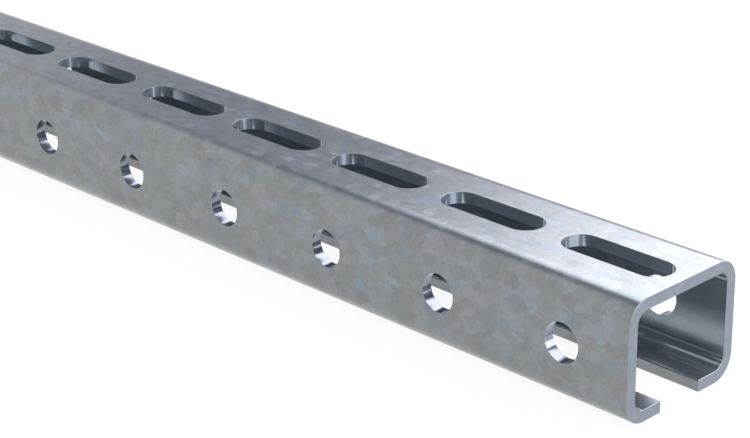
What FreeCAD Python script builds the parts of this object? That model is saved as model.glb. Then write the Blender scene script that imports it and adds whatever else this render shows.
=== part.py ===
import FreeCAD, Part
import math
import os

# Lipped C-channel, cold formed from galvanised strip. Sizes are in mm.
# X runs along the length, Y across the width, Z up from the lips to the back.

# Driving dimensions
length = 1000.0
width = 50.0
height = 40.0
wall = 4.0
inner_bend_radius = 4.0
lip_width = 16.0
lip_edge_radius = 0.5
pitch = 50.0
slot_length = 40.0
slot_width = 13.0
hole_diameter = 13.0

# How far a punch reaches past the wall it cuts, and the shortest line that is drawn
punch_overrun = 1.0
shortest_line = 1e-6

# Worked-out sizes. The strip is cut midway between two stations, and each station
# has one slot in the back and one pair of holes halfway up the side walls.
outer_bend_radius = inner_bend_radius + wall
side_y = width / 2
inner_side_y = side_y - wall
back_inner_z = height - wall
lip_edge_y = side_y - lip_width
hole_z = height / 2
end_to_first_station = pitch / 2
station_count = int((length - 2 * end_to_first_station + shortest_line) // pitch) + 1
first_station_x = length / 2 - end_to_first_station
stations = [first_station_x - pitch * number for number in range(station_count)]


def rounded_wire(corners):
    """A closed wire through ((y, z), radius) corners on the YZ plane, each corner an arc."""
    points = [FreeCAD.Vector(0, y, z) for (y, z), radius in corners]
    arcs = []
    for index, (place, radius) in enumerate(corners):
        corner = points[index]
        to_last = (points[index - 1] - corner).normalize()
        to_next = (points[(index + 1) % len(points)] - corner).normalize()
        half_angle = to_last.getAngle(to_next) / 2
        inward = (to_last + to_next).normalize()
        run = radius / math.tan(half_angle)
        rise = radius / math.sin(half_angle) - radius
        arcs.append((corner + to_last * run, corner + inward * rise, corner + to_next * run))
    edges = []
    for index, (start, middle, end) in enumerate(arcs):
        edges.append(Part.Arc(start, middle, end).toShape())
        next_start = arcs[(index + 1) % len(arcs)][0]
        if (next_start - end).Length > shortest_line:
            edges.append(Part.LineSegment(end, next_start).toShape())
    return Part.Wire(edges)


def both_sides(corners):
    """The corners of the +Y side followed by their mirror image on the -Y side."""
    return corners + [((-y, z), radius) for (y, z), radius in reversed(corners)]


def channel_blank():
    """The bent section run along the whole length, before punching."""
    outer = both_sides([
        ((lip_edge_y, 0), lip_edge_radius),
        ((side_y, 0), outer_bend_radius),
        ((side_y, height), outer_bend_radius),
    ])
    inner = both_sides([
        ((lip_edge_y, wall), lip_edge_radius),
        ((inner_side_y, wall), inner_bend_radius),
        ((inner_side_y, back_inner_z), inner_bend_radius),
    ])
    section = Part.Face(rounded_wire(outer + inner[::-1]))
    section.translate(FreeCAD.Vector(-length / 2, 0, 0))
    return section.extrude(FreeCAD.Vector(length, 0, 0))


def slot_cutter(x):
    """A punch for one slot with round ends in the back, its length along X."""
    end_x = (slot_length - slot_width) / 2
    side = slot_width / 2
    tip_x = slot_length / 2
    right_top = FreeCAD.Vector(end_x, side, 0)
    right_low = FreeCAD.Vector(end_x, -side, 0)
    left_top = FreeCAD.Vector(-end_x, side, 0)
    left_low = FreeCAD.Vector(-end_x, -side, 0)
    outline = Part.Wire([
        Part.LineSegment(left_low, right_low).toShape(),
        Part.Arc(right_low, FreeCAD.Vector(tip_x, 0, 0), right_top).toShape(),
        Part.LineSegment(right_top, left_top).toShape(),
        Part.Arc(left_top, FreeCAD.Vector(-tip_x, 0, 0), left_low).toShape(),
    ])
    punch = Part.Face(outline).extrude(FreeCAD.Vector(0, 0, wall + 2 * punch_overrun))
    punch.translate(FreeCAD.Vector(x, 0, back_inner_z - punch_overrun))
    return punch


def hole_cutter(x):
    """A drill for one pair of round holes, through both side walls on one axis."""
    start = FreeCAD.Vector(x, -side_y - punch_overrun, hole_z)
    reach = width + 2 * punch_overrun
    return Part.makeCylinder(hole_diameter / 2, reach, start, FreeCAD.Vector(0, 1, 0))


cutters = [slot_cutter(x) for x in stations] + [hole_cutter(x) for x in stations]
channel = channel_blank().cut(Part.makeCompound(cutters)).Solids[0]

os.makedirs("parts", exist_ok=True)
channel.exportStep("parts/channel.step")
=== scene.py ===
import math

import bpy
from mathutils import Matrix, Vector


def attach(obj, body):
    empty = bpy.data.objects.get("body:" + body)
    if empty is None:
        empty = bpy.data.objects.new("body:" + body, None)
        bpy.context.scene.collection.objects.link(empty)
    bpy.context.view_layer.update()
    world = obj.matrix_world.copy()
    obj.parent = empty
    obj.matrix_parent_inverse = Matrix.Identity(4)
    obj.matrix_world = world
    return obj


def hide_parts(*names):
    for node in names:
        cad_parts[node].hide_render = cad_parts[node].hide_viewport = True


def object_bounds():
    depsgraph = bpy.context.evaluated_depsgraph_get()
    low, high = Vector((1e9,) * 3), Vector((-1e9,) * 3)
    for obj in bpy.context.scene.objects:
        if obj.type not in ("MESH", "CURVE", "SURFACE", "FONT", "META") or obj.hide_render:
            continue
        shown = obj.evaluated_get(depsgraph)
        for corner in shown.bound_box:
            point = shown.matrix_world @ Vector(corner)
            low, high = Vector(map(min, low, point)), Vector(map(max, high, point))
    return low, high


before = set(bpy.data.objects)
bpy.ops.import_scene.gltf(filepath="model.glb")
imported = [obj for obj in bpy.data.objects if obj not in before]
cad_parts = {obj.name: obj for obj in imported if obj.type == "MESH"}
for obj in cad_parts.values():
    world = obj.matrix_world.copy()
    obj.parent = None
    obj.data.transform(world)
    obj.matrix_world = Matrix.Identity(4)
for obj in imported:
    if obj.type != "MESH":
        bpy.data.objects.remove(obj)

cad_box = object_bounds()

# A lipped C-channel, roll formed from hot-dip galvanised strip that was punched first.
# It is made here as it is made in the mill: one pitch of flat strip with its
# punched holes, repeated along the length, closed by two cut ends, then bent.

MM = 0.001

# The section, in millimetres. The frame gives its width and height.
WIDTH = (cad_box[1][1] - cad_box[0][1]) / MM
HEIGHT = (cad_box[1][2] - cad_box[0][2]) / MM
WALL = 4.0
INNER_BEND = 4.0
LIP_WIDTH = 16.0
LIP_EDGE_ROUND = 0.5
OUTER_BEND = INNER_BEND + WALL

# The length, which the frame gives, and the punching, in millimetres
LENGTH = (cad_box[1][0] - cad_box[0][0]) / MM
PITCH = 50.0
SLOT_LENGTH = 40.0
SLOT_WIDTH = 13.0
HOLE_DIAMETER = 13.0
STATIONS = round(LENGTH / PITCH)

# Edge rounding that a punch, a die and a cutting-off tool leave, in millimetres
PUNCH_SIDE_ROUND = 0.08
DIE_SIDE_ROUND = 0.08
CUT_END_ROUND = 0.2

# The flat strip, from the middle of its back outwards to its edge. A bend's run is its
# length in the middle of the wall.
BACK_FLAT = WIDTH / 2 - OUTER_BEND
SIDE_FLAT = HEIGHT - 2 * OUTER_BEND
LIP_FLAT = LIP_WIDTH - OUTER_BEND
BEND_RUN = (INNER_BEND + WALL / 2) * math.pi / 2
SIDE_START = BACK_FLAT + BEND_RUN
SIDE_MIDDLE = SIDE_START + SIDE_FLAT / 2
SIDE_END = SIDE_START + SIDE_FLAT
LIP_START = SIDE_END + BEND_RUN
STRIP_EDGE = LIP_START + LIP_FLAT

# The zinc's pattern, in millimetres along, across and through the strip. The crystals and
# the clouds have their real sizes. The feathering inside a crystal and the lines of the
# forming rolls are really a few tenths of a millimetre wide, too fine to show, and are drawn
# over a millimetre wide.
SPANGLE_SIZE = (4.2, 3.2, 3.2)
FEATHER_SIZE = (1.3, 1.3, 1.3)
CLOUD_SIZE = (11.0, 11.0, 11.0)
ROLL_LINE_SIZE = (150.0, 1.5, 1.5)
ROLL_LINE_DEPTH = 0.02

# How far the crystals' edges are pulled about, in crystals, and how much of the roll lines'
# depth the feathering has
CRYSTAL_RAGGEDNESS = 1.1
FEATHER_RELIEF = 0.05

# How far through the wall the inner side starts and is full, and how far its tone goes from the
# outer side's, all as shares. The inner side's lighter, bluer tone is painted fill light for the
# channel's shaded inside.
INNER_SIDE_START = 0.9
INNER_SIDE_FULL = 0.98
INNER_PAINTED_LIGHT_SHARE = 0.8

# The bare steel's patterns, in millimetres: on a punched wall along, across and through the
# strip, and on a cut end along, across and up the channel. Real shear and tool lines are
# about a tenth of a millimetre wide, too fine to show, and are drawn several times wider.
SHEAR_LINE_SIZE = (0.6, 0.6, 6.0)
SHEAR_LINE_DEPTH = 0.01
MOTTLE_SIZE = (3.0, 3.0, 3.0)
TOOL_LINE_SIZE = (1.0, 20.0, 0.4)
TOOL_LINE_DEPTH = 0.02

# How finely the strip is divided. A panel's rings lie at these shares of the way from its
# frame to its hole. Places that agree to so many digits of a millimetre are one point of a
# mesh, and points of different meshes become one within the merge reach, in millimetres.
COLUMNS = 16
BEND_STEPS = 10
ROUND_STEPS = 3
SLOT_PANEL_ROWS = 12
HOLE_PANEL_ROWS = 8
PANEL_RINGS = (0.0, 0.45, 0.8, 1.0)
PLACE_DIGITS = 4
MERGE_REACH = 0.01

# The studio, in metres, degrees and watts. A light area lies towards an (azimuth from +X,
# elevation), and its edges are cosines of the angle from there, where it starts and where it
# is full. The floor's white share is plain white, and the rest is lit paint with the shadow.
FLOOR_REACH = 6.0
FLOOR_WHITE_SHARE = 0.92
SWEEP_TOWARDS = (-147, -19.5)
SWEEP_EDGES = (0.15, 0.35)
SOFTBOX_TOWARDS = (49, 39.6)
SOFTBOX_EDGES = (0.27, 0.412)
SOFTBOX_STRENGTH = 3.8
SOFTBOX_WHITE = "#FAF9FF"
LAMP_PLACE = (0.2, 0.0, 2.6)
LAMP_TARGET = (0.2, 0.0, 0.0)
LAMP_SIDE = 1.0
LAMP_WATTS = 4.0

# How high a direction points, as the sine of its elevation: where the blue-grey between the
# light areas changes tone, and where the pale ceiling starts and is full
BETWEEN_MIDDLE = 0.45
CEILING_START = 0.8
CEILING_FULL = 0.93

# The photograph's viewpoint, found by fitting the section, slots and holes to it: a place in
# metres, two directions, the lens in pixels of a picture this many pixels wide, the sensor in
# millimetres, and how near and far the camera sees, in metres
CAMERA_PLACE = (0.83204, -0.44977, 0.29046)
CAMERA_LOOKING = (-0.659492, 0.645520, -0.385194)
CAMERA_RIGHT = (0.703140, 0.710943, -0.012427)
FOCAL_PIXELS = 2101.5
PICTURE_PIXELS = 750
SENSOR_WIDTH = 36.0
NEAREST_SEEN = 0.01
FURTHEST_SEEN = 50.0

# Which finish a face has, by its place in the list of finishes
ROLLED, SLOT_WALL, HOLE_WALL, CUT = range(4)

# Sockets that share their names with others of their node, so that they go by number: the
# two colours and the result of a colour mix, and the two whole numbers of a comparison
MIX_FIRST, MIX_SECOND, MIX_RESULT = 6, 7, 2
COMPARED, COMPARED_WITH = 2, 3


def linear(srgb_hex):
    """An sRGB hex colour as linear RGBA."""
    parts = [int(srgb_hex[i:i + 2], 16) / 255 for i in (1, 3, 5)]
    return [c / 12.92 if c <= 0.04045 else ((c + 0.055) / 1.055) ** 2.4 for c in parts] + [1.0]


def per_metre(sizes):
    """How often a pattern with these sizes in millimetres repeats in a metre, on each axis."""
    return [1 / (size * MM) for size in sizes]


def add(tree, kind, settings=None, inputs=None):
    """Adds a node with its settings. An input is a value, or a socket to link from."""
    node = tree.nodes.new(kind)
    for key, value in (settings or {}).items():
        setattr(node, key, value)
    for key, value in (inputs or {}).items():
        if isinstance(value, bpy.types.NodeSocket):
            tree.links.new(value, node.inputs[key])
        else:
            node.inputs[key].default_value = value
    return node


# The flat strip

class Strip:
    """Faces of flat strip in (along, across, height) millimetres, its outer side at height 0."""

    def __init__(self):
        self.points = []
        self.index = {}
        self.faces = []
        self.finishes = []

    def point(self, place):
        """The number of the point at a place, which is added if it is new."""
        key = tuple(round(c, PLACE_DIGITS) for c in place)
        if key not in self.index:
            self.index[key] = len(self.points)
            self.points.append(tuple(c * MM for c in place))
        return self.index[key]

    def face(self, places, finish, flipped=False):
        """Adds a face, unless its corners fall together on a point or a line."""
        corners = [self.point(p) for p in places]
        corners = [c for i, c in enumerate(corners) if c != corners[i - 1]]
        if len(corners) > 2:
            self.faces.append(corners[::-1] if flipped else corners)
            self.finishes.append(finish)

    def sheet(self, rows, finish, closed=False, flipped=False):
        """Quads between neighbouring rows of points."""
        for low, high in zip(rows, rows[1:]):
            count = len(low)
            for i in range(count if closed else count - 1):
                j = (i + 1) % count
                self.face([low[i], low[j], high[j], high[i]], finish, flipped)

    def mesh(self, name):
        """The faces as a mesh that holds each one's finish."""
        mesh = bpy.data.meshes.new(name)
        mesh.from_pydata(self.points, [], self.faces)
        finish = mesh.attributes.new("finish", "INT", "FACE")
        finish.data.foreach_set("value", self.finishes)
        return mesh


def spread(start, end, steps):
    """Evenly spaced values from start to end, both included."""
    return [start + (end - start) * i / steps for i in range(steps + 1)]


def oblong(half_run, radius, straight_steps, arc_steps):
    """A closed outline with round ends, anticlockwise from the middle of its right end."""
    quarter = [(half_run + radius * math.cos(a), radius * math.sin(a))
               for a in spread(0, math.pi / 2, arc_steps)]
    if half_run:
        quarter += [(half_run * (1 - i / straight_steps), radius)
                    for i in range(1, straight_steps + 1)]
    return full_turn(quarter)


def rectangle(half_x, half_y, x_steps, y_steps):
    """A closed rectangle with the same starting place and direction as an oblong."""
    quarter = [(half_x, y) for y in spread(0, half_y, y_steps)]
    quarter += [(x, half_y) for x in spread(half_x, 0, x_steps)[1:]]
    return full_turn(quarter)


def full_turn(quarter):
    """A closed outline from its first quarter, mirrored twice."""
    upper = quarter + [(-x, y) for x, y in reversed(quarter[:-1])]
    return upper + [(x, -y) for x, y in reversed(upper[1:-1])]


def part_way(start, end, share):
    """The outline that lies a share of the way from one outline to another."""
    return [(a + (c - a) * share, b + (d - b) * share) for (a, b), (c, d) in zip(start, end)]


def rounding(radius):
    """A quarter round over an edge, as (distance to the far face, depth below the near one)."""
    return [(radius * (1 - math.sin(a)), radius * (1 - math.cos(a)))
            for a in spread(0, math.pi / 2, ROUND_STEPS)]


def pierced_panel(strip, centre, half_across, panel_rows, half_run, radius, wall_finish):
    """One flat panel of the strip, both faces of it, round one punched hole."""
    straight_steps = COLUMNS // 4 if half_run else 0
    arc_steps = COLUMNS // 2 + panel_rows // 2 - straight_steps
    frame_outline = rectangle(PITCH / 2, half_across, COLUMNS // 2, panel_rows // 2)

    def ring(points, height):
        return [(x, y + centre, height) for x, y in points]

    def hole(outside):
        return oblong(half_run, radius + outside, straight_steps, arc_steps)

    for height, edge_round in ((0.0, PUNCH_SIDE_ROUND), (-WALL, DIE_SIDE_ROUND)):
        rows = [ring(part_way(frame_outline, hole(edge_round), share), height) for share in PANEL_RINGS]
        strip.sheet(rows, ROLLED, closed=True, flipped=height < 0)
    upper = [ring(hole(out), -depth) for out, depth in rounding(PUNCH_SIDE_ROUND)]
    lower = [ring(hole(out), depth - WALL) for out, depth in reversed(rounding(DIE_SIDE_ROUND))]
    strip.sheet(upper, ROLLED, closed=True)
    strip.sheet([upper[-1], lower[0]], wall_finish, closed=True)
    strip.sheet(lower, ROLLED, closed=True)


def edge_outline(inset):
    """The strip's rounded edge as (across, height), from its outer to its inner side.

    It is moved in by inset.
    """
    radius = LIP_EDGE_ROUND - inset
    middle = STRIP_EDGE - LIP_EDGE_ROUND
    upper = [(middle + radius * math.sin(a), radius * math.cos(a) - LIP_EDGE_ROUND)
             for a in spread(0, math.pi / 2, ROUND_STEPS)]
    return upper + [(across, -WALL - height) for across, height in reversed(upper)]


def across_places():
    """Where one half of the strip's section has points, from its middle to its rounded edge."""
    places = spread(0, BACK_FLAT, SLOT_PANEL_ROWS // 2)
    places += spread(BACK_FLAT, SIDE_START, BEND_STEPS)[1:]
    places += spread(SIDE_START, SIDE_END, HOLE_PANEL_ROWS)[1:]
    places += spread(SIDE_END, LIP_START, BEND_STEPS)[1:]
    places += [STRIP_EDGE - LIP_EDGE_ROUND]
    return places


def strip_of_one_pitch():
    """One pitch of punched strip, open at its two ends."""
    strip = Strip()
    columns = spread(-PITCH / 2, PITCH / 2, COLUMNS)
    pierced_panel(strip, 0, BACK_FLAT, SLOT_PANEL_ROWS, (SLOT_LENGTH - SLOT_WIDTH) / 2,
                  SLOT_WIDTH / 2, SLOT_WALL)
    plain = [spread(BACK_FLAT, SIDE_START, BEND_STEPS),
             spread(SIDE_END, LIP_START, BEND_STEPS),
             [LIP_START, STRIP_EDGE - LIP_EDGE_ROUND]]
    for side in (1, -1):
        pierced_panel(strip, side * SIDE_MIDDLE, SIDE_FLAT / 2, HOLE_PANEL_ROWS, 0,
                      HOLE_DIAMETER / 2, HOLE_WALL)
        for places in plain:
            for height in (0.0, -WALL):
                rows = [[(x, side * across, height) for x in columns] for across in places]
                strip.sheet(rows, ROLLED, flipped=(side < 0) != (height < 0))
        rows = [[(x, side * across, height) for x in columns] for across, height in edge_outline(0)]
        strip.sheet(rows, ROLLED, flipped=side < 0)
    return strip.mesh("strip_of_one_pitch")


def section_outline(inset):
    """The whole section of the flat strip as (across, height), moved in by inset."""
    half = across_places()
    places = [-across for across in reversed(half[1:])] + half
    outer = [(across, -inset) for across in places]
    inner = [(across, inset - WALL) for across in reversed(places)]
    edge = edge_outline(inset)[1:-1]
    return outer + edge + inner + [(-across, height) for across, height in reversed(edge)]


def strip_end():
    """The cut face at the strip's +X end with its rounded edge, its face at zero."""
    strip = Strip()
    rings = [[(-back, across, height) for across, height in section_outline(inset)]
             for back, inset in rounding(CUT_END_ROUND)]
    strip.sheet(rings, CUT, closed=True, flipped=True)

    # The face lies between a row of points along the strip's outer side and one along its
    # inner side, which both start at the middle of the strip's -Y edge
    past_middle = len(edge_outline(0)) // 2 - 1
    around = rings[-1][-past_middle:] + rings[-1][:-past_middle]
    half = len(around) // 2
    strip.sheet([around[:half], around[:half - 1:-1]], CUT, flipped=True)
    return strip.mesh("strip_end")


# Repeating and bending

def sockets(tree, **kinds):
    """Gives a tree its named inputs, and one Geometry output."""
    tree.interface.new_socket("Geometry", in_out="OUTPUT", socket_type="NodeSocketGeometry")
    for name, kind in kinds.items():
        tree.interface.new_socket(name.replace("_", " "), in_out="INPUT",
                                  socket_type="NodeSocket" + kind)
    return add(tree, "NodeGroupInput").outputs


def fold_tree():
    """Geometry Nodes: folds strip that lies across Y down by a right angle, along two mirrored lines.

    The run of each bend is taken out of the strip, and what lies past the fold line
    turns about the bend's centre, which is one outer radius below the strip.
    """
    tree = bpy.data.node_groups.new("fold", "GeometryNodeTree")
    given = sockets(tree, Geometry="Geometry", Fold_Line="Float", Bend_Run="Float", Outer_Bend="Float")
    place = add(tree, "GeometryNodeInputPosition").outputs[0]
    x, y, z = add(tree, "ShaderNodeSeparateXYZ", inputs={0: place}).outputs
    across = add(tree, "ShaderNodeMath", {"operation": "ABSOLUTE"}, {0: y}).outputs[0]
    side = add(tree, "ShaderNodeMath", {"operation": "SIGN"}, {0: y}).outputs[0]
    bend_end = add(tree, "ShaderNodeMath", {"operation": "ADD"},
                   {0: given["Fold Line"], 1: given["Bend Run"]}).outputs[0]
    turned = add(tree, "ShaderNodeMapRange", inputs={
        "Value": across, "From Min": given["Fold Line"], "From Max": bend_end}).outputs[0]
    taken_up = add(tree, "ShaderNodeMath", {"operation": "MULTIPLY"},
                   {0: turned, 1: given["Bend Run"]}).outputs[0]
    left = add(tree, "ShaderNodeMath", {"operation": "SUBTRACT"}, {0: across, 1: taken_up}).outputs[0]
    angle = add(tree, "ShaderNodeMath", {"operation": "MULTIPLY"},
                {0: turned, 1: -math.pi / 2}).outputs[0]
    below = add(tree, "ShaderNodeMath", {"operation": "MULTIPLY"},
                {0: given["Outer Bend"], 1: -1.0}).outputs[0]
    centre = add(tree, "ShaderNodeCombineXYZ", inputs={"Y": given["Fold Line"], "Z": below}).outputs[0]
    flat = add(tree, "ShaderNodeCombineXYZ", inputs={"X": x, "Y": left, "Z": z}).outputs[0]
    folded = add(tree, "ShaderNodeVectorRotate", {"rotation_type": "X_AXIS"}, {
        "Vector": flat, "Center": centre, "Angle": angle}).outputs[0]
    mirror = add(tree, "ShaderNodeCombineXYZ", inputs={"X": 1.0, "Y": side, "Z": 1.0}).outputs[0]
    on_its_side = add(tree, "ShaderNodeVectorMath", {"operation": "MULTIPLY"},
                      {0: folded, 1: mirror}).outputs[0]
    moved = add(tree, "GeometryNodeSetPosition", inputs={
        "Geometry": given["Geometry"], "Position": on_its_side})
    add(tree, "NodeGroupOutput", inputs={"Geometry": moved.outputs[0]})
    return tree


def forming_tree(materials):
    """Geometry Nodes: repeats the punched pitch, closes both ends and folds the strip to shape."""
    tree = bpy.data.node_groups.new("roll_forming", "GeometryNodeTree")
    given = sockets(tree, Geometry="Geometry", Strip_End="Object", Stations="Int", Pitch="Float",
                    Half_Length="Float", Cut_End_Round="Float", Outer_Bend="Float", Bend_Run="Float",
                    Upper_Fold_Line="Float", Lower_Fold_Line="Float", Height="Float",
                    **{name: "Material" for name in materials})

    # The pitches in a row, the first one centred half a pitch in from the -X end
    half_pitch = add(tree, "ShaderNodeMath", {"operation": "MULTIPLY"},
                     {0: given["Pitch"], 1: 0.5}).outputs[0]
    first = add(tree, "ShaderNodeMath", {"operation": "SUBTRACT"},
                {0: half_pitch, 1: given["Half Length"]}).outputs[0]
    row = add(tree, "GeometryNodeMeshLine", {"mode": "OFFSET"}, {
        "Count": given["Stations"],
        "Start Location": add(tree, "ShaderNodeCombineXYZ", inputs={"X": first}).outputs[0],
        "Offset": add(tree, "ShaderNodeCombineXYZ", inputs={"X": given["Pitch"]}).outputs[0]})
    pitches = add(tree, "GeometryNodeInstanceOnPoints", inputs={
        "Points": row.outputs[0], "Instance": given["Geometry"]})
    strip = add(tree, "GeometryNodeRealizeInstances", inputs={0: pitches.outputs[0]})

    # Both ends draw back to where the cut ends' rounding starts
    place = add(tree, "GeometryNodeInputPosition").outputs[0]
    x, y, z = add(tree, "ShaderNodeSeparateXYZ", inputs={0: place}).outputs
    reach = add(tree, "ShaderNodeMath", {"operation": "SUBTRACT"},
                {0: given["Half Length"], 1: given["Cut End Round"]}).outputs[0]
    far_reach = add(tree, "ShaderNodeMath", {"operation": "MULTIPLY"},
                    {0: reach, 1: -1.0}).outputs[0]
    drawn_back = add(tree, "ShaderNodeClamp", inputs={
        "Value": x, "Min": far_reach, "Max": reach}).outputs[0]
    kept = add(tree, "ShaderNodeCombineXYZ", inputs={"X": drawn_back, "Y": y, "Z": z}).outputs[0]
    shortened = add(tree, "GeometryNodeSetPosition", inputs={
        "Geometry": strip.outputs[0], "Position": kept})
    cut = add(tree, "GeometryNodeObjectInfo", inputs={"Object": given["Strip End"]}).outputs["Geometry"]
    to_end = add(tree, "ShaderNodeCombineXYZ", inputs={"X": given["Half Length"]}).outputs[0]
    near = add(tree, "GeometryNodeTransform", inputs={"Geometry": cut, "Translation": to_end})
    far = add(tree, "GeometryNodeTransform", inputs={
        "Geometry": near.outputs[0], "Rotation": (0.0, 0.0, math.pi)})
    joined = add(tree, "GeometryNodeJoinGeometry")
    for part in (far, near, shortened):
        tree.links.new(part.outputs[0], joined.inputs[0])
    whole = add(tree, "GeometryNodeMergeByDistance", inputs={
        "Geometry": joined.outputs[0], "Distance": MERGE_REACH * MM}).outputs[0]

    # Each point keeps its place on the flat strip, which the zinc's pattern follows
    folded = add(tree, "GeometryNodeStoreNamedAttribute",
                 {"data_type": "FLOAT_VECTOR", "domain": "POINT"},
                 {"Geometry": whole, "Name": "strip", "Value": place}).outputs[0]

    # The lips are folded first and then the sides, and the back comes up to its height
    fold = fold_tree()
    for line in ("Lower Fold Line", "Upper Fold Line"):
        folded = add(tree, "GeometryNodeGroup", {"node_tree": fold}, {
            "Geometry": folded, "Fold Line": given[line], "Bend Run": given["Bend Run"],
            "Outer Bend": given["Outer Bend"]}).outputs[0]
    up = add(tree, "ShaderNodeCombineXYZ", inputs={"Z": given["Height"]}).outputs[0]
    raised = add(tree, "GeometryNodeTransform", inputs={"Geometry": folded, "Translation": up})
    smooth = add(tree, "GeometryNodeSetShadeSmooth", inputs={"Geometry": raised.outputs[0]})
    finished = add(tree, "GeometryNodeRealizeInstances", inputs={0: smooth.outputs[0]}).outputs[0]
    finish = add(tree, "GeometryNodeInputNamedAttribute", {"data_type": "INT"}, {"Name": "finish"})
    for number, name in enumerate(materials):
        chosen = add(tree, "FunctionNodeCompare", {"data_type": "INT", "operation": "EQUAL"}, {
            COMPARED: finish.outputs["Attribute"], COMPARED_WITH: number})
        finished = add(tree, "GeometryNodeSetMaterial", inputs={
            "Geometry": finished, "Selection": chosen.outputs[0], "Material": given[name]}).outputs[0]
    add(tree, "NodeGroupOutput", inputs={"Geometry": finished})
    return tree


def formed_channel(materials):
    """The finished channel as one plain closed mesh."""
    end = bpy.data.objects.new("strip_end", strip_end())
    blank = bpy.data.objects.new("channel_strip", strip_of_one_pitch())
    bpy.context.scene.collection.objects.link(blank)
    bpy.context.scene.collection.objects.link(end)
    tree = forming_tree(materials)
    forming = blank.modifiers.new("roll_forming", "NODES")
    forming.node_group = tree
    given = {"Strip End": end, "Stations": STATIONS, "Pitch": PITCH * MM,
             "Half Length": LENGTH / 2 * MM, "Cut End Round": CUT_END_ROUND * MM,
             "Outer Bend": OUTER_BEND * MM, "Bend Run": BEND_RUN * MM,
             "Upper Fold Line": BACK_FLAT * MM, "Lower Fold Line": SIDE_END * MM,
             "Height": HEIGHT * MM, **materials}
    for item in tree.interface.items_tree:
        if item.name in given:
            forming[item.identifier] = given[item.name]

    # The normals follow the large faces at full weight, so that each shades flat to its edges
    weighted = blank.modifiers.new("flat_faces_stay_flat", "WEIGHTED_NORMAL")
    weighted.weight = 100
    bpy.context.view_layer.update()
    graph = bpy.context.evaluated_depsgraph_get()
    mesh = bpy.data.meshes.new_from_object(blank.evaluated_get(graph), preserve_all_data_layers=True,
                                           depsgraph=graph)
    mesh.name = "channel"
    for helper in (blank, end):
        bpy.data.objects.remove(helper)
    channel = bpy.data.objects.new("galvanised_channel", mesh)
    bpy.context.scene.collection.objects.link(channel)
    return channel


# Finishes

def new_material(name):
    """A material and its tree, still empty."""
    material = bpy.data.materials.new(name)
    material.use_nodes = True
    tree = material.node_tree
    tree.nodes.clear()
    return material, tree


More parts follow.
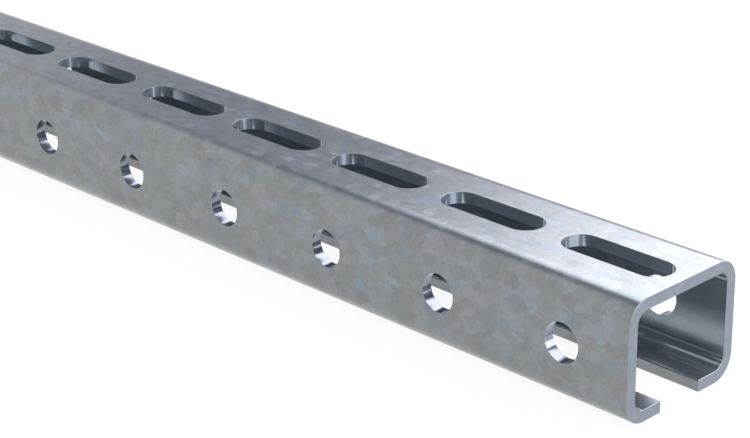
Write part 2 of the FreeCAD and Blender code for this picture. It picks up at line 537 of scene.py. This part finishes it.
def galvanised_strip():
    """Hot-dip galvanised steel strip, cold formed between rolls.

    The eye sees a dull zinc grey, broken into small feathery spangle crystals that lean a
    little blue or warm, with faint forming lines.
    """
    material, tree = new_material("hot_dip_galvanised_strip")
    place = add(tree, "ShaderNodeAttribute", {"attribute_name": "strip"}).outputs["Vector"]

    # Spangle crystals, with edges made ragged by a finer noise
    in_crystals = add(tree, "ShaderNodeMapping", inputs={
        "Vector": place, "Scale": per_metre(SPANGLE_SIZE)}).outputs[0]
    ragged = add(tree, "ShaderNodeTexNoise", inputs={
        "Vector": in_crystals, "Scale": 2.0, "Detail": 4.0, "Roughness": 0.65}).outputs["Color"]
    bent = add(tree, "ShaderNodeVectorMath", {"operation": "MULTIPLY_ADD"}, {
        0: ragged, 1: [CRYSTAL_RAGGEDNESS] * 3, 2: in_crystals}).outputs[0]
    crystal = add(tree, "ShaderNodeTexVoronoi", inputs={"Vector": bent, "Scale": 1.0}).outputs["Color"]
    tone, tint, gloss = add(tree, "ShaderNodeSeparateColor", inputs={0: crystal}).outputs

    # Each crystal has a grey of its own, and leans towards a hue of its own
    grey = add(tree, "ShaderNodeValToRGB", inputs={0: tone})
    grey.color_ramp.elements[0].color = linear("#7E8286")
    grey.color_ramp.elements[1].color = linear("#8D9399")
    grey.color_ramp.elements.new(0.5).color = linear("#868B8C")
    hue = add(tree, "ShaderNodeValToRGB", inputs={0: tint})
    hue.color_ramp.elements[0].color = linear("#8196AB")
    hue.color_ramp.elements[1].color = linear("#8F8A87")
    for position, colour in ((0.07, "#858B91"), (0.4, "#858D89"), (0.7, "#8A898D")):
        hue.color_ramp.elements.new(position).color = linear(colour)
    tinted = add(tree, "ShaderNodeMix", {"data_type": "RGBA"}, {
        "Factor": 0.3, MIX_FIRST: grey.outputs[0], MIX_SECOND: hue.outputs[0]}).outputs[MIX_RESULT]

    # The inner side, painted lighter and bluer than outside as painted fill light in the channel's
    # shaded inside, and a little duller
    depth = add(tree, "ShaderNodeSeparateXYZ", inputs={0: place}).outputs["Z"]
    inner = add(tree, "ShaderNodeMapRange", inputs={
        "Value": depth, "From Min": -INNER_SIDE_START * WALL * MM,
        "From Max": -INNER_SIDE_FULL * WALL * MM}).outputs[0]
    painted_fill_light_share = add(tree, "ShaderNodeMath", {"operation": "MULTIPLY"},
                      {0: inner, 1: INNER_PAINTED_LIGHT_SHARE}).outputs[0]
    with_painted_fill_light = add(tree, "ShaderNodeMix", {"data_type": "RGBA"}, {
        "Factor": painted_fill_light_share, MIX_FIRST: tinted,
        MIX_SECOND: linear("#8C969F")}).outputs[MIX_RESULT]
    metal = add(tree, "ShaderNodeMapRange", inputs={
        "Value": inner, "To Min": 0.9, "To Max": 0.79}).outputs[0]

    # Feathering inside the crystals, and clouds of slightly thicker and thinner zinc
    feather = add(tree, "ShaderNodeTexNoise", inputs={
        "Vector": add(tree, "ShaderNodeMapping", inputs={
            "Vector": place, "Scale": per_metre(FEATHER_SIZE)}).outputs[0],
        "Scale": 1.0, "Detail": 4.0, "Roughness": 0.6, "Distortion": 0.6}).outputs["Fac"]
    cloud = add(tree, "ShaderNodeTexNoise", inputs={
        "Vector": add(tree, "ShaderNodeMapping", inputs={
            "Vector": place, "Scale": per_metre(CLOUD_SIZE)}).outputs[0],
        "Scale": 1.0, "Detail": 1.0}).outputs["Fac"]
    fine_shade = add(tree, "ShaderNodeMapRange", inputs={
        "Value": feather, "From Min": 0.3, "From Max": 0.7,
        "To Min": 0.93, "To Max": 1.07}).outputs[0]
    wide_shade = add(tree, "ShaderNodeMapRange", inputs={
        "Value": cloud, "From Min": 0.3, "From Max": 0.7,
        "To Min": 0.97, "To Max": 1.03}).outputs[0]
    shade = add(tree, "ShaderNodeMath", {"operation": "MULTIPLY"},
                {0: fine_shade, 1: wide_shade}).outputs[0]
    colour = add(tree, "ShaderNodeVectorMath", {"operation": "SCALE"},
                 {0: with_painted_fill_light, "Scale": shade}).outputs[0]

    # One crystal in four is a little duller
    roughness = add(tree, "ShaderNodeMapRange", inputs={
        "Value": gloss, "From Min": 0.75, "To Min": 0.18, "To Max": 0.26}).outputs[0]

    # Faint lines along the length from the forming rolls
    lines = add(tree, "ShaderNodeTexNoise", inputs={
        "Vector": add(tree, "ShaderNodeMapping", inputs={
            "Vector": place, "Scale": per_metre(ROLL_LINE_SIZE)}).outputs[0],
        "Scale": 1.0, "Detail": 2.0}).outputs["Fac"]
    relief = add(tree, "ShaderNodeMath", {"operation": "MULTIPLY_ADD"}, {
        0: feather, 1: FEATHER_RELIEF, 2: lines}).outputs[0]
    bump = add(tree, "ShaderNodeBump", inputs={
        "Strength": 0.2, "Distance": ROLL_LINE_DEPTH * MM, "Height": relief}).outputs[0]
    shader = add(tree, "ShaderNodeBsdfPrincipled", inputs={
        "Base Color": colour, "Metallic": metal, "Roughness": roughness, "Normal": bump})
    add(tree, "ShaderNodeOutputMaterial", inputs={"Surface": shader.outputs[0]})
    return material


def punched_wall(name, darkest, lightest):
    """The steel wall of a punched slot or hole, wiped with zinc and burnished by the punch.

    The eye sees it reflect clearly, with faint shear lines through the sheet's thickness.
    """
    material, tree = new_material(name)
    place = add(tree, "ShaderNodeAttribute", {"attribute_name": "strip"}).outputs["Vector"]
    shear = add(tree, "ShaderNodeTexNoise", inputs={
        "Vector": add(tree, "ShaderNodeMapping", inputs={
            "Vector": place, "Scale": per_metre(SHEAR_LINE_SIZE)}).outputs[0],
        "Scale": 1.0, "Detail": 2.0}).outputs["Fac"]
    grey = add(tree, "ShaderNodeValToRGB", inputs={0: shear})
    grey.color_ramp.elements[0].position = 0.3
    grey.color_ramp.elements[0].color = linear(darkest)
    grey.color_ramp.elements[1].position = 0.7
    grey.color_ramp.elements[1].color = linear(lightest)
    bump = add(tree, "ShaderNodeBump", inputs={
        "Strength": 0.1, "Distance": SHEAR_LINE_DEPTH * MM, "Height": shear}).outputs[0]
    shader = add(tree, "ShaderNodeBsdfPrincipled", inputs={
        "Base Color": grey.outputs[0], "Metallic": 0.84, "Roughness": 0.16, "Normal": bump})
    add(tree, "ShaderNodeOutputMaterial", inputs={"Surface": shader.outputs[0]})
    return material


def cut_end_face():
    """The steel end where the channel was cut off.

    The eye sees an even, satin, slightly blue grey, with faint tool lines from side to side.
    """
    material, tree = new_material("cut_steel_end")
    place = add(tree, "ShaderNodeTexCoord").outputs["Object"]
    mottle = add(tree, "ShaderNodeTexNoise", inputs={
        "Vector": add(tree, "ShaderNodeMapping", inputs={
            "Vector": place, "Scale": per_metre(MOTTLE_SIZE)}).outputs[0],
        "Scale": 1.0, "Detail": 3.0}).outputs["Fac"]
    grey = add(tree, "ShaderNodeValToRGB", inputs={0: mottle})
    grey.color_ramp.elements[0].position = 0.3
    grey.color_ramp.elements[0].color = linear("#898F99")
    grey.color_ramp.elements[1].position = 0.7
    grey.color_ramp.elements[1].color = linear("#9399A3")
    tool = add(tree, "ShaderNodeTexNoise", inputs={
        "Vector": add(tree, "ShaderNodeMapping", inputs={
            "Vector": place, "Scale": per_metre(TOOL_LINE_SIZE)}).outputs[0],
        "Scale": 1.0, "Detail": 2.0}).outputs["Fac"]
    bump = add(tree, "ShaderNodeBump", inputs={
        "Strength": 0.15, "Distance": TOOL_LINE_DEPTH * MM, "Height": tool}).outputs[0]
    shader = add(tree, "ShaderNodeBsdfPrincipled", inputs={
        "Base Color": grey.outputs[0], "Metallic": 1.0, "Roughness": 0.4, "Normal": bump})
    add(tree, "ShaderNodeOutputMaterial", inputs={"Surface": shader.outputs[0]})
    return material


# The finishes stand in the order of their numbers. The slots' walls are the same punched steel as
# the round holes' walls, painted lighter and bluer: painted light for the brighter light they catch.
finishes = {"Strip Finish": galvanised_strip(),
            "Slot Finish": punched_wall("punched_steel_slot_wall_painted_lighter", "#A0ABB7", "#AFB9C4"),
            "Hole Finish": punched_wall("punched_steel_hole_wall", "#8A8F9A", "#989CA6"),
            "Cut Finish": cut_end_face()}
channel = formed_channel(finishes)
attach(channel, "root")
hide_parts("channel")


# Studio

def studio_floor():
    """A floor that shows as white to the camera and in the metal, and keeps a soft shadow."""
    mesh = bpy.data.meshes.new("floor")
    corners = [(x * FLOOR_REACH, y * FLOOR_REACH, 0) for x, y in ((-1, -1), (1, -1), (1, 1), (-1, 1))]
    mesh.from_pydata(corners, [], [(0, 1, 2, 3)])
    material, tree = new_material("white_studio_floor")
    paint = add(tree, "ShaderNodeBsdfDiffuse", inputs={"Color": linear("#F4F4F4")})
    white = add(tree, "ShaderNodeEmission", inputs={"Color": linear("#FFFFFF"), "Strength": 1.0})
    seen = add(tree, "ShaderNodeLightPath").outputs
    direct = seen["Is Camera Ray"]
    for ray in ("Is Glossy Ray", "Is Transmission Ray"):
        direct = add(tree, "ShaderNodeMath", {"operation": "ADD", "use_clamp": True}, {
            0: direct, 1: seen[ray]}).outputs[0]
    share = add(tree, "ShaderNodeMath", {"operation": "MULTIPLY"},
                {0: direct, 1: FLOOR_WHITE_SHARE}).outputs[0]
    mixed = add(tree, "ShaderNodeMixShader", inputs={
        0: share, 1: paint.outputs[0], 2: white.outputs[0]})
    add(tree, "ShaderNodeOutputMaterial", inputs={"Surface": mixed.outputs[0]})
    mesh.materials.append(material)
    floor = bpy.data.objects.new("studio_floor", mesh)
    bpy.context.scene.collection.objects.link(floor)


def studio_world():
    """Soft blue-grey surroundings under a pale ceiling, with two soft-edged light areas.

    They are a white sweep in front and to the left, and a large bright softbox behind.
    """
    world = bpy.data.worlds.new("studio_surroundings")
    world.use_nodes = True
    tree = world.node_tree
    tree.nodes.clear()
    direction = add(tree, "ShaderNodeTexCoord").outputs["Generated"]
    height = add(tree, "ShaderNodeSeparateXYZ", inputs={0: direction}).outputs["Z"]

    def light_area(towards, edges):
        """1 well inside the area that lies towards a direction, and 0 outside it."""
        azimuth, elevation = (math.radians(angle) for angle in towards)
        middle = (math.cos(elevation) * math.cos(azimuth), math.cos(elevation) * math.sin(azimuth),
                  math.sin(elevation))
        cosine = add(tree, "ShaderNodeVectorMath", {"operation": "DOT_PRODUCT"}, {
            0: direction, 1: middle}).outputs["Value"]
        return add(tree, "ShaderNodeMapRange", {"interpolation_type": "SMOOTHSTEP"}, {
            "Value": cosine, "From Min": edges[0], "From Max": edges[1]}).outputs[0]

    sweep = light_area(SWEEP_TOWARDS, SWEEP_EDGES)
    below_ceiling = add(tree, "ShaderNodeMapRange", {"interpolation_type": "SMOOTHSTEP"}, {
        "Value": height, "From Min": CEILING_START, "From Max": CEILING_FULL,
        "To Min": 1.0, "To Max": 0.0}).outputs[0]
    softbox_behind = add(tree, "ShaderNodeMath", {"operation": "MULTIPLY"}, {
        0: light_area(SOFTBOX_TOWARDS, SOFTBOX_EDGES), 1: below_ceiling}).outputs[0]

    # Between the light areas the tone falls from the horizon to the ceiling's edge
    between = add(tree, "ShaderNodeValToRGB", inputs={0: height})
    between.color_ramp.elements[0].color = linear("#BABFCC")
    between.color_ramp.elements[1].position = CEILING_START
    between.color_ramp.elements[1].color = linear("#7C8495")
    between.color_ramp.elements.new(BETWEEN_MIDDLE).color = linear("#A6ABBA")
    between.color_ramp.elements.new(CEILING_FULL).color = linear("#EEF1F6")
    with_sweep = add(tree, "ShaderNodeMix", {"data_type": "RGBA"}, {
        "Factor": sweep, MIX_FIRST: between.outputs[0],
        MIX_SECOND: linear("#FFFFFF")}).outputs[MIX_RESULT]
    with_softbox = add(tree, "ShaderNodeMix", {"data_type": "RGBA"}, {
        "Factor": softbox_behind, MIX_FIRST: with_sweep,
        MIX_SECOND: linear(SOFTBOX_WHITE)}).outputs[MIX_RESULT]
    strength = add(tree, "ShaderNodeMapRange", inputs={
        "Value": softbox_behind, "To Min": 1.0, "To Max": SOFTBOX_STRENGTH}).outputs[0]
    background = add(tree, "ShaderNodeBackground", inputs={
        "Color": with_softbox, "Strength": strength})
    add(tree, "ShaderNodeOutputWorld", inputs={"Surface": background.outputs[0]})
    bpy.context.scene.world = world


def overhead_lamp():
    """A weak square soft light above the channel, which gives it its faint shadow."""
    light = bpy.data.lights.new("overhead_softbox", "AREA")
    light.shape = "RECTANGLE"
    light.size = LAMP_SIDE
    light.size_y = LAMP_SIDE
    light.energy = LAMP_WATTS
    light.color = linear(SOFTBOX_WHITE)[:3]
    lamp = bpy.data.objects.new("overhead_softbox", light)
    aim = Vector(LAMP_TARGET) - Vector(LAMP_PLACE)
    turn = aim.to_track_quat("-Z", "Y").to_matrix().to_4x4()
    lamp.matrix_world = Matrix.Translation(LAMP_PLACE) @ turn
    bpy.context.scene.collection.objects.link(lamp)


def photo_camera():
    """The photograph's viewpoint and lens."""
    looking = Vector(CAMERA_LOOKING).normalized()
    right = Vector(CAMERA_RIGHT)
    right = (right - looking * right.dot(looking)).normalized()
    up = right.cross(looking)
    lens = bpy.data.cameras.new("photo_camera")
    lens.sensor_fit = "HORIZONTAL"
    lens.sensor_width = SENSOR_WIDTH
    lens.lens = FOCAL_PIXELS / PICTURE_PIXELS * SENSOR_WIDTH
    lens.clip_start = NEAREST_SEEN
    lens.clip_end = FURTHEST_SEEN
    camera = bpy.data.objects.new("photo_camera", lens)
    turn = Matrix((right, up, -looking)).transposed().to_4x4()
    camera.matrix_world = Matrix.Translation(CAMERA_PLACE) @ turn
    bpy.context.scene.collection.objects.link(camera)
    bpy.context.scene.camera = camera


studio_floor()
studio_world()
overhead_lamp()
photo_camera()
bpy.context.scene.view_settings.view_transform = "Standard"
